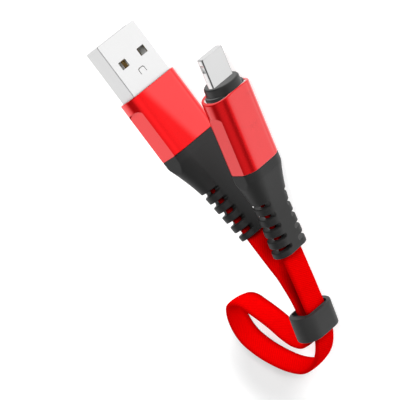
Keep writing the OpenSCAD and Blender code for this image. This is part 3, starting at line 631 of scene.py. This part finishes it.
# the tongue gets a painted highlight on its narrow sides and painted shade on its round corners
tongue_plate = finish(
    "satin_tongue_plate", drawn_metal,
    {"Color": grey(0.54), "Shade": 0.04, "Lines": 0.6, "Roughness": 0.5, "Spread": 0.06,
     "Narrow Side Gleam": 0.7, "Edge Shade": 0.85},
    (0.05, 0.004), {"Metallic": 1.0})
gold = finish(
    "gold_contact_plate", drawn_metal,
    {"Color": colour(0.83, 0.58, 0.25), "Shade": 0.1, "Lines": 0.8, "Roughness": 0.28,
     "Spread": 0.08},
    (0.05, 0.004), {"Metallic": 1.0})
white_plastic = finish(
    "white_moulding", moulded_skin,
    {"Color": colour(0.85, 0.85, 0.83), "Shade": 0.06, "Grain": 8000, "Roughness": 0.42,
     "Spread": 0.08},
    (0.1, 0.01), {"Specular IOR Level": 0.45})
# the contact block's white is a little darker than the white moulding: painted shade for the dim
# inside of the shell
block_white = finish(
    "contact_block_moulding", moulded_skin,
    {"Color": colour(0.8, 0.8, 0.78), "Shade": 0.06, "Grain": 8000, "Roughness": 0.42,
     "Spread": 0.08},
    (0.1, 0.01), {"Specular IOR Level": 0.45})
inner_black = finish(
    "inner_moulding", moulded_skin,
    {"Color": grey(0.03), "Shade": 0.3, "Grain": 6000, "Roughness": 0.5, "Spread": 0.1},
    (0.1, 0.01))
solder_grey = finish(
    "dull_solder", drawn_metal,
    {"Color": colour(0.6, 0.61, 0.63), "Shade": 0.15, "Lines": 0.2, "Roughness": 0.38,
     "Spread": 0.2},
    (0.1, 0.01), {"Metallic": 1.0})
crimp_steel = finish(
    "pressed_crimp_steel", drawn_metal,
    {"Color": colour(0.62, 0.62, 0.64), "Shade": 0.1, "Lines": 1.2, "Roughness": 0.35,
     "Spread": 0.12},
    (0.1, 0.01), {"Metallic": 1.0})
wire_cover = finish(
    "wire_insulation", moulded_skin,
    {"Color": colour(0.75, 0.5, 0.06), "Shade": 0.1, "Grain": 5000, "Roughness": 0.45,
     "Spread": 0.1},
    (0.05, 0.01))
board_green = finish(
    "board_lacquer", moulded_skin,
    {"Color": colour(0.02, 0.13, 0.05), "Shade": 0.3, "Grain": 3000, "Roughness": 0.3,
     "Spread": 0.1},
    (0.1, 0.01))
chip_black = finish(
    "chip_body", moulded_skin,
    {"Color": grey(0.02), "Shade": 0.3, "Grain": 6000, "Roughness": 0.45, "Spread": 0.1},
    (0.1, 0.01))
ceramic = finish(
    "board_part_ceramic", moulded_skin,
    {"Color": colour(0.45, 0.32, 0.18), "Shade": 0.2, "Grain": 5000, "Roughness": 0.4,
     "Spread": 0.1},
    (0.1, 0.01))

# ------------------------------------------------------------------ the lead

LOOP_LOW = CABLE_W / 2 + FIT
ROUTE = [
    (11.4, -18.6, 5.9), (11.3, -21.6, 5.75), (11.1, -24.2, 5.5), (10.8, -27.6, 5.2),
    (10.8, -31.5, 5.15), (10.6, -35.0, 5.15), (10.1, -37.1, 5.1), (9.1, -39.4, 5.0),
    (7.4, -41.8, 4.7), (4.4, -44.4, 4.3), (0.9, -46.0, 3.9), (-3.2, -46.0, 3.5),
    (-7.4, -44.7, 3.2), (-11.6, -42.3, LOOP_LOW), (-14.2, -39.4, LOOP_LOW),
    (-15.2, -35.7, LOOP_LOW), (-14.9, -32.8, LOOP_LOW), (-13.8, -31.0, LOOP_LOW),
    (-12.1, -30.3, LOOP_LOW), (-10.3, -30.5, LOOP_LOW), (-7.4, -32.2, 3.2),
    (-3.6, -35.0, 3.6), (-0.6, -37.6, 4.0), (1.6, -38.9, 4.25), (3.7, -39.2, 4.5),
    (5.8, -38.5, 4.7), (7.5, -36.8, 4.85), (8.1, -34.6, 4.95), (8.1, -31.2, 5.0),
    (8.15, -27.6, 5.25), (8.1, -24.0, 5.8), (7.95, -21.0, 6.3), (7.45, -18.2, 6.8),
    (6.75, -14.8, 7.3), (6.0, -11.9, 7.6)]
BEND_PLACE = Vector((-12.9, -30.2))
STRAIGHT = 1                            # the lead runs straight this far inside each exit


def inside(exit_mm, turn, up):
    a = math.radians(turn)
    return Vector(exit_mm) + up * Vector((-math.sin(a), math.cos(a), 0))


def lead_line(steps=10):
    """Places and headings along the lead's middle, from inside one plug to inside the other."""
    spine = [inside(PHONE_EXIT, 0, PHONE_CABLE_END), inside(PHONE_EXIT, 0, STRAIGHT)]
    spine += [Vector(p) for p in (PHONE_EXIT, *ROUTE, USB_EXIT)]
    spine += [inside(USB_EXIT, USB_ANGLE, up) for up in (STRAIGHT, USB_CABLE_END)]
    chords = [(b - a).length for a, b in zip(spine, spine[1:])]
    headings = [(b - a).normalized() for a, b in zip(spine, spine[1:])]
    leans = [headings[0]]
    for i in range(1, len(spine) - 1):
        leans.append((headings[i] * chords[i - 1] + headings[i - 1] * chords[i])
                     / (chords[i] + chords[i - 1]))
    leans.append(headings[-1])
    line = []
    for i, c in enumerate(chords):
        for k in range(steps):
            s = k / steps
            p = ((2 * s**3 - 3 * s**2 + 1) * spine[i] + (s**3 - 2 * s**2 + s) * c * leans[i]
                 + (3 * s**2 - 2 * s**3) * spine[i + 1] + (s**3 - s**2) * c * leans[i + 1])
            d = ((6 * s**2 - 6 * s) * (spine[i] - spine[i + 1])
                 + (3 * s**2 - 4 * s + 1) * c * leans[i] + (3 * s**2 - 2 * s) * c * leans[i + 1])
            line.append((p, d.normalized()))
    line.append((spine[-1], leans[-1].normalized()))
    return line


def lead_section(arc=6, across=6):
    """Two rounded edges, and broad sides that crown between them; pairs of (across, up)."""
    edge = CABLE_T / 2 - CABLE_CROWN
    top = CABLE_W / 2 - edge
    points = []
    for side in (1, -1):
        for k in range(arc + 1):
            a = math.pi * k / arc
            points.append((side * edge * math.cos(a), side * (top + edge * math.sin(a))))
        for k in range(1, across):
            up = 1 - 2 * k / across
            points.append((side * (CABLE_CROWN * up**2 - CABLE_T / 2), side * up * top))
    return points


def make_lead():
    line = lead_line()
    section = lead_section()
    rings, weave = [], []
    along, before = 0, line[0][0]
    for p, d in line:
        along += (p - before).length
        before = p
        near = max(0, 1 - (p.xy - BEND_PLACE).length / BEND_REACH)
        turn = math.radians(BEND_LEAN) * near**2 * (3 - 2 * near)
        level = Vector((d.y, -d.x, 0)).normalized()
        across = math.cos(turn) * level + math.sin(turn) * Vector((0, 0, 1))
        up = math.cos(turn) * Vector((0, 0, 1)) - math.sin(turn) * level
        rings.append([p + a * across + b * up for a, b in section])
        weave += [(MM * along, MM * b, MM * a) for a, b in section]
    obj = piece("flat_lead", rings, Matrix.Identity(4), angle=60)
    run = obj.data.attributes.new("weave", "FLOAT_VECTOR", "POINT")
    run.data.foreach_set("vector", [c for v in weave for c in v])
    keep(obj, lead_red, "red_cable", LEAD, "flat_cable")


make_lead()

# ------------------------------------------------------------------ sleeves


def flats(w, t, depth, low, high):
    """Cutters for the two milled flats, round at their upper corners."""
    half = math.sqrt((t / 2) ** 2 - (t / 2 - depth) ** 2) + FLAT_SPARE
    r = FLAT_CORNER_R
    shape = [(-half, low)]
    for side in (-1, 1):
        for k in range(9):
            a = math.radians((180 if side < 0 else 90) - 90 * k / 8)
            shape.append((side * (half - r) + r * math.cos(a), high - r + r * math.sin(a)))
    shape.append((half, low))
    return twin_cutters([[(x, y, z) for y, z in shape] for x in (w / 2 + 1, w / 2 - depth)])


def mouth_drop(x):
    """How far the arched mouth of the phone sleeve has come down at x from its middle."""
    return ARCH_R - math.sqrt(ARCH_R**2 - x * x)


def make_sleeve(name, node, coat, place, sizes, low, length, flat_start, rise, drop=None):
    w, t, flat, bore_r = sizes
    bore_w, bore_t, bore_r = sleeve_bore(w, t, flat, bore_r)
    top = low + length + rise
    outer = block(w, t, low, top, None, SLEEVE_RIM, steps=4, arc=16, drop=drop)
    inner = block(bore_w, bore_t, low, top, bore_r, steps=1, arc=16, drop=drop)
    obj = piece(name, outer + [inner[-1], inner[0]], place, closed=True)
    combined(obj, flats(w, t, flat, low - 1, low + length - flat_start), [bevel(0.09, 3, 20)],
             angle=20)
    keep(flattened(obj), coat, "red_sleeve", LEAD, node)


make_sleeve("usb_red_sleeve", "usb_sleeve", usb_red, ON_USB, USB_SLEEVE_SIZES, USB_BOOT_L,
            USB_SLEEVE_L, USB_FLAT_START, LIP)
make_sleeve("phone_red_sleeve", "phone_sleeve", phone_red, ON_PHONE, PHONE_SLEEVE_SIZES,
            PHONE_BOOT_L, PHONE_SLEEVE_L, PHONE_FLAT_START, MOUTH_RISE, mouth_drop)

# ------------------------------------------------------------------ strain reliefs


def boot_size(down, length, rim_l, flare_l, full, neck, tail):
    """Width or thickness of a boot at a distance down from its sleeve.

    It is full under the sleeve, flares in to the neck and then goes evenly to the tail.
    """
    slope = (tail - neck) / (length - rim_l - flare_l)
    taper = neck + slope * (max(down, rim_l) - rim_l - flare_l)
    start = neck - slope * flare_l
    if down <= rim_l:
        left = 1
    elif down >= rim_l + flare_l:
        left = 0
    else:
        left = (1 - (down - rim_l) / flare_l) ** 1.5
    return taper + (full - start) * left


def slot(web, reach, t, z):
    """Rings of the cutter for one flexing slot, with a round inner end."""
    r = SLOT_H / 2
    shape = [(reach, z - r)]
    shape += [(web + r - r * math.cos(math.radians(a)), z - r * math.sin(math.radians(a)))
              for a in range(90, -91, -15)]
    shape += [(reach, z + r)]
    return through(shape, t, -t)


def make_boot(name, node, place, sizes, length, spigot, spigot_top, rim_l, flare_l, neck, tail):
    w, t, flat, _ = sizes
    levels = 40
    rings = []
    for k in range(levels + 1):
        z = length * k / levels
        here = [boot_size(length - z, length, rim_l, flare_l, *size)
                for size in zip((w, t), neck, tail)]
        rings.append(lift(outline(*here, arc=12), z))
    rings += upright(outline(*spigot, arc=12), length, spigot_top)
    obj = piece(name, rings, place)
    tools = flats(w, t, flat, -1, length + 3)
    channel = outline(CABLE_W + 2 * FIT, CABLE_T + 2 * FIT)
    tools.append(cutter(upright(channel, -1, spigot_top + 1)))
    for k in range(SLOT_COUNT):
        tools += twin_cutters(slot(SLOT_WEB + SLOT_WEB_STEP * k, w, t,
                                   SLOT_FIRST + SLOT_PITCH * k))
    combined(obj, tools, melted(BOOT_VOXEL), angle=None)
    keep(obj, boot_black, "black_boot", LEAD, node)


make_boot("usb_strain_relief", "usb_boot", ON_USB, USB_SLEEVE_SIZES, USB_BOOT_L, USB_SPIGOT,
          USB_SPIGOT_TOP, USB_RIM_L, USB_FLARE_L, USB_NECK, USB_TAIL)
make_boot("phone_strain_relief", "phone_boot", ON_PHONE, PHONE_SLEEVE_SIZES, PHONE_BOOT_L,
          PHONE_SPIGOT, PHONE_SPIGOT_TOP, PHONE_RIM_L, PHONE_FLARE_L, PHONE_NECK, PHONE_TAIL)

# ------------------------------------------------------------------ USB shell


def leaf_slit():
    """Outline of the slit round the pressed leaf: an arch and a smaller one inside it."""
    top = USB_TIP - LEAF_FROM_TIP
    foot = top - LEAF_L
    half, r = LEAF_W / 2, LEAF_R
    quarter = [(math.cos(math.radians(a)), math.sin(math.radians(a))) for a in range(0, 91, 15)]
    arch = [(-half, foot)]
    arch += [(-half + r - r * c, top - r + r * s) for c, s in quarter]
    arch += [(half - r + r * s, top - r + r * c) for c, s in quarter]
    arch += [(half, foot)]
    narrower, shorter = (half - LEAF_SLIT) / half, (LEAF_L - LEAF_SLIT) / LEAF_L
    return arch + [(x * narrower, foot + (z - foot) * shorter) for x, z in reversed(arch)]


def make_usb_shell():
    low, high = USB_MOUTH - SHELL_IN, USB_TIP
    outer = block(SHELL_W, SHELL_T, low, high, SHELL_R, SHELL_RIM, steps=2)
    inner = block(SHELL_W - 2 * SHELL_WALL, SHELL_T - 2 * SHELL_WALL, low, high, SHELL_INNER_R,
                  steps=1)
    obj = piece("usb_steel_shell", outer + [inner[-1], inner[0]], ON_USB, closed=True)
    tools = []
    for side in (-1, 1):
        middle = side * LATCH_SPACING / 2
        window = [(middle + x, USB_TIP - LATCH_FROM_TIP + z)
                  for x, z in outline(LATCH_W, LATCH_L, LATCH_R, arc=4)]
        tools.append(cutter(through(window, SHELL_T, -SHELL_T)))
    tools.append(cutter(through(leaf_slit(), SHELL_T, HOLLOW_Y)))
    seam = [(-SEAM / 2, -SHELL_T), (SEAM / 2, -SHELL_T), (SEAM / 2, -HOLLOW_Y),
            (-SEAM / 2, -HOLLOW_Y)]
    tools.append(cutter(upright(seam, low - 1, high + 1)))
    combined(obj, tools, [bevel(0.04, 2, 40)])
    keep(flattened(obj), nickel, "steel_shell", LEAD, "usb_shell")


make_usb_shell()

# ------------------------------------------------------------------ phone tongue, collar, insert


def make_tongue():
    levels = [TONGUE_LOW] + [PHONE_TIP - TONGUE_TIP_R + TONGUE_TIP_R * math.sin(math.radians(a))
                             for a in range(0, 91, 15)]
    rings = []
    for z in levels:
        into_tip = max(z - PHONE_TIP + TONGUE_TIP_R, 0)
        half = (TONGUE_W / 2 - TONGUE_TIP_R
                + math.sqrt(max(TONGUE_TIP_R**2 - into_tip**2, 0)))
        rings.append(lift(outline(2 * half, TONGUE_T, TONGUE_R, arc=7), z))
    obj = piece("phone_metal_tongue", rings, ON_PHONE)
    middle = PHONE_TIP - CONTACT_BACK - CONTACT_L / 2
    pocket = [(x, middle + z * POCKET_L / POCKET_DRAWN_L)
              for x, z in outline(POCKET_W, POCKET_DRAWN_L, POCKET_R, arc=5)]
    tools = [cutter(through(pocket, POCKET_FLOOR, -TONGUE_T))]
    for side in (-1, 1):
        middle = side * (TONGUE_W / 2 - NOTCH_DEPTH + NOTCH_R)
        scoop = [(middle + NOTCH_R * math.cos(a),
                  PHONE_TIP - NOTCH_FROM_TIP + NOTCH_R * math.sin(a))
                 for a in (math.tau * k / 48 for k in range(48))]
        tools.append(cutter(through(scoop, -NOTCH_H / 2, NOTCH_H / 2)))
    combined(obj, tools, [bevel(0.05, 2, 40)])
    keep(flattened(obj), tongue_plate, "tongue_metal", LEAD, "phone_tongue")


def tongue_hole(low, high):
    ring = outline(TONGUE_W + 2 * FIT, TONGUE_T + 2 * FIT, TONGUE_HOLE_R)
    return cutter(upright(ring, low, high))


def arch_cutter():
    """Cutter for all that lies under the arched mouth of the phone sleeve."""
    reach, depth, steps = 8, 5, 24
    top = PHONE_MOUTH + MOUTH_RISE - INSERT_SINK
    shape = [(x * reach / steps, top - mouth_drop(x * reach / steps))
             for x in range(-steps, steps + 1)]
    shape += [(reach, PHONE_MOUTH - depth), (-reach, PHONE_MOUTH - depth)]
    return cutter(through(shape, depth, -depth))


def oval(w, t, z, steps=64):
    """Ring at a height; TIER_POWER makes it a little fuller than an ellipse."""
    ring = []
    for k in range(steps):
        a = math.tau * k / steps
        x = w / 2 * abs(math.cos(a)) ** (2 / TIER_POWER)
        y = t / 2 * abs(math.sin(a)) ** (2 / TIER_POWER)
        ring.append((math.copysign(x, math.cos(a)), math.copysign(y, math.sin(a)), z))
    return ring


def make_collar():
    """A low flange that stands in the mouth, and an oval tier on it that covers the broad lips.

    The tier has a waist at its foot, in its width only, and a rounded rim.
    """
    low, ledge = PHONE_MOUTH - INSERT_SINK, PHONE_MOUTH + FLANGE_H
    flange = block(FLANGE_W, FLANGE_T, low, ledge, None, FLANGE_RIM, steps=4, arc=12)
    foot = block(TIER_W, PHONE_SPIGOT[1], low, ledge, None, FOOT_RIM, steps=2, arc=12)
    tier = []
    for k in range(6):
        a = math.radians(90 * k / 5)
        inset = TIER_FOOT * (1 - math.sin(a))
        tier.append(oval(TIER_W - 2 * inset, TIER_T,
                         ledge - TIER_SINK + TIER_FOOT * (1 - math.cos(a))))
    for k in range(9):
        a = math.radians(90 * k / 8)
        inset = TIER_LEAN + TIER_RIM * (1 - math.cos(a))
        tier.append(oval(TIER_W - 2 * inset, TIER_T - 2 * inset,
                         TIER_TOP - TIER_RIM + TIER_RIM * math.sin(a)))
    collar = piece("phone_collar_moulding", flange, ON_PHONE)
    for rings in (foot, tier):
        combined(collar, [rings_to_mesh("more", rings)], operation="UNION")
    combined(collar, [tongue_hole(PHONE_MOUTH - 1, TIER_TOP + 1), arch_cutter()],
             melted(COLLAR_VOXEL), angle=None)
    keep(collar, collar_black, "black_collar", LEAD, "phone_collar")


def make_insert():
    """White plate round the tongue, sunk a little below the arched lip of the sleeve."""
    w, t, r = PHONE_SPIGOT
    rings = block(w, t, PHONE_MOUTH - INSERT_H, PHONE_MOUTH + MOUTH_RISE - INSERT_SINK, r,
                  INSERT_RIM, steps=2, arc=12, drop=mouth_drop)
    plate = piece("phone_mouth_plate", rings, ON_PHONE)
    combined(plate, [tongue_hole(PHONE_MOUTH - 3, PHONE_TIP)])
    keep(plate, white_plastic, "white_plastic", LEAD, "phone_end_insert")


make_tongue()
make_collar()
make_insert()

# ------------------------------------------------------------------ keeper band


def make_band():
    outer = block(BAND_W, BAND_T, 0, BAND_L, None, BAND_RIM, steps=4, arc=14)
    inner = block(BAND_SLOT_W, BAND_SLOT_T, 0, BAND_L, BAND_SLOT_R, -BAND_SLOT_LIP, steps=4,
                  arc=14)
    obj = piece("keeper_band_moulding", outer + inner[::-1], ON_BAND, closed=True, angle=50)
    keep(obj, band_black, "band_rubber", BAND, "keeper_band")


make_band()

# ------------------------------------------------------------------ pieces that stay as they are

KEPT = {
    "usb_contact_block": block_white, "usb_contacts": gold, "usb_solder_joints": solder_grey,
    "usb_wires": wire_cover, "usb_crimp": crimp_steel, "usb_inner_mould": inner_black,
    "phone_contact_carrier": white_plastic, "phone_contacts": gold,
    "phone_circuit_board": board_green, "phone_control_chip": chip_black,
    "phone_board_parts": ceramic, "phone_solder_joints": solder_grey,
    "phone_wires": wire_cover, "phone_crimp": crimp_steel, "phone_inner_mould": inner_black}
for name, material in KEPT.items():
    nodes[name].data.materials.clear()
    nodes[name].data.materials.append(material)

# ------------------------------------------------------------------ floor and light, in metres

LOOP_MIDDLE = (-0.017, -0.051, 0)
OBJECT_MIDDLE = (0, -0.01, 0.006)
TABLE_HALF, TABLE_Z, TABLE_TONE = 3.0, -0.0001, 0.45
TABLE_GLOW, LOOP_GLOW, SHEEN_GLOW = 0.74, 0.3, 1.65
DIM_FROM, DIM_TO = 0.004, 0.018         # round the middle of the loop
# bright panels in the sky: direction, cosine where they begin, cosine where full, brightness
PANELS = [((-0.909, -0.419, 0), 0.32, 0.62, 1.35), ((0.58, -0.36, 0.73), 0.88, 0.96, 0.9),
          ((0.72, 0.20, 0.67), 0.93, 0.98, 1.5), ((0.92, 0.28, 0.27), 0.93, 0.98, 1.5)]
ROOM_GLOW, EVEN_GLOW = 0.06, 0.4


def make_floor():
    mesh = bpy.data.meshes.new("floor")
    s = TABLE_HALF
    mesh.from_pydata([(-s, -s, 0), (s, -s, 0), (s, s, 0), (-s, s, 0)], [], [(0, 1, 2, 3)])
    floor = new_object("floor", mesh)
    floor.location.z = TABLE_Z
    material = bpy.data.materials.new("white_table")
    material.use_nodes = True
    tree = material.node_tree
    p = tree.nodes["Principled BSDF"]
    p.inputs["Base Color"].default_value = grey(TABLE_TONE)
    p.inputs["Roughness"].default_value = 0.9
    p.inputs["Specular IOR Level"].default_value = 0.0
    p.inputs["Emission Color"].default_value = grey(1)
    # under the loop the table gives less light of its own, so that the lamp there casts a shadow
    look = tree.nodes.new("ShaderNodeTexCoord").outputs
    off = vector_math(tree, "DISTANCE", look["Object"], LOOP_MIDDLE)
    feed(tree, p.inputs["Emission Strength"], ramp(tree, off, DIM_FROM, DIM_TO, LOOP_GLOW,
                                                   TABLE_GLOW))
    # in the sheen of a piece the table is an even white
    even = tree.nodes.new("ShaderNodeEmission")
    even.inputs["Strength"].default_value = SHEEN_GLOW
    mix = tree.nodes.new("ShaderNodeMixShader")
    ray = tree.nodes.new("ShaderNodeLightPath")
    tree.links.new(ray.outputs["Is Glossy Ray"], mix.inputs["Fac"])
    tree.links.new(p.outputs["BSDF"], mix.inputs[1])
    tree.links.new(even.outputs["Emission"], mix.inputs[2])
    tree.links.new(mix.outputs["Shader"], tree.nodes["Material Output"].inputs["Surface"])
    mesh.materials.append(material)


def lamp(name, kind, centre, direction, distance, power):
    """A lamp that shines at a centre; no piece shows its mirror image."""
    obj = new_object(name, bpy.data.lights.new(name, kind))
    d = Vector(direction).normalized()
    obj.location = Vector(centre) + d * distance
    obj.rotation_euler = d.to_track_quat("Z", "Y").to_euler()
    obj.data.energy = power
    obj.visible_glossy = False
    return obj


def soft_light(name, direction, size, power):
    light = lamp(name, "AREA", OBJECT_MIDDLE, direction, 0.8, power)
    light.data.shape = "SQUARE"
    light.data.size = size


def only(name, piece_name):
    """A collection of one object, for light linking."""
    collection = bpy.data.collections.new(name)
    collection.objects.link(bpy.data.objects[piece_name])
    return collection


def loop_light():
    """A soft lamp for the table under the loop alone, where the loop stands in its way."""
    light = lamp("loop_lamp", "SPOT", LOOP_MIDDLE, (0.72, 0.44, 0.53), 0.5, 32)
    light.data.shadow_soft_size = 0.06
    light.data.spot_size = math.radians(7.5)
    light.data.spot_blend = 1.0
    light.light_linking.receiver_collection = only("table", "floor")
    light.light_linking.blocker_collection = only("loop", "flat_lead")


def make_studio_sky():
    """The sheen of a piece shows bright panels in a dark room; all else gets an even light."""
    world = bpy.data.worlds.new("studio")
    bpy.context.scene.world = world
    world.use_nodes = True
    tree = world.node_tree
    calc = partial(math_node, tree)
    way = tree.nodes.new("ShaderNodeTexCoord").outputs["Generated"]
    glow = ROOM_GLOW
    for direction, edge, full, brightness in PANELS:
        toward = vector_math(tree, "DOT_PRODUCT", way, Vector(direction).normalized())
        glow = calc("ADD", ramp(tree, toward, edge, full, 0, brightness), glow)
    ray = tree.nodes.new("ShaderNodeLightPath").outputs
    shine = ray["Is Glossy Ray"]
    behind = calc("MULTIPLY", ray["Is Camera Ray"], 1 - EVEN_GLOW)
    dull = calc("ADD", calc("MULTIPLY", calc("SUBTRACT", 1, shine), EVEN_GLOW), behind)
    background = tree.nodes["Background"].inputs
    background["Color"].default_value = grey(1)
    feed(tree, background["Strength"], calc("ADD", calc("MULTIPLY", glow, shine), dull))


make_floor()
make_studio_sky()
soft_light("key", (0.42, 0.61, 0.67), 0.3, 4.5)
loop_light()
soft_light("fill", (-0.9, -0.1, 0.4), 0.5, 1.5)

# the USB plug shows no mirror image of the phone plug beside it
for obj in bpy.data.objects:
    if obj.name.startswith("phone_"):
        obj.visible_glossy = False
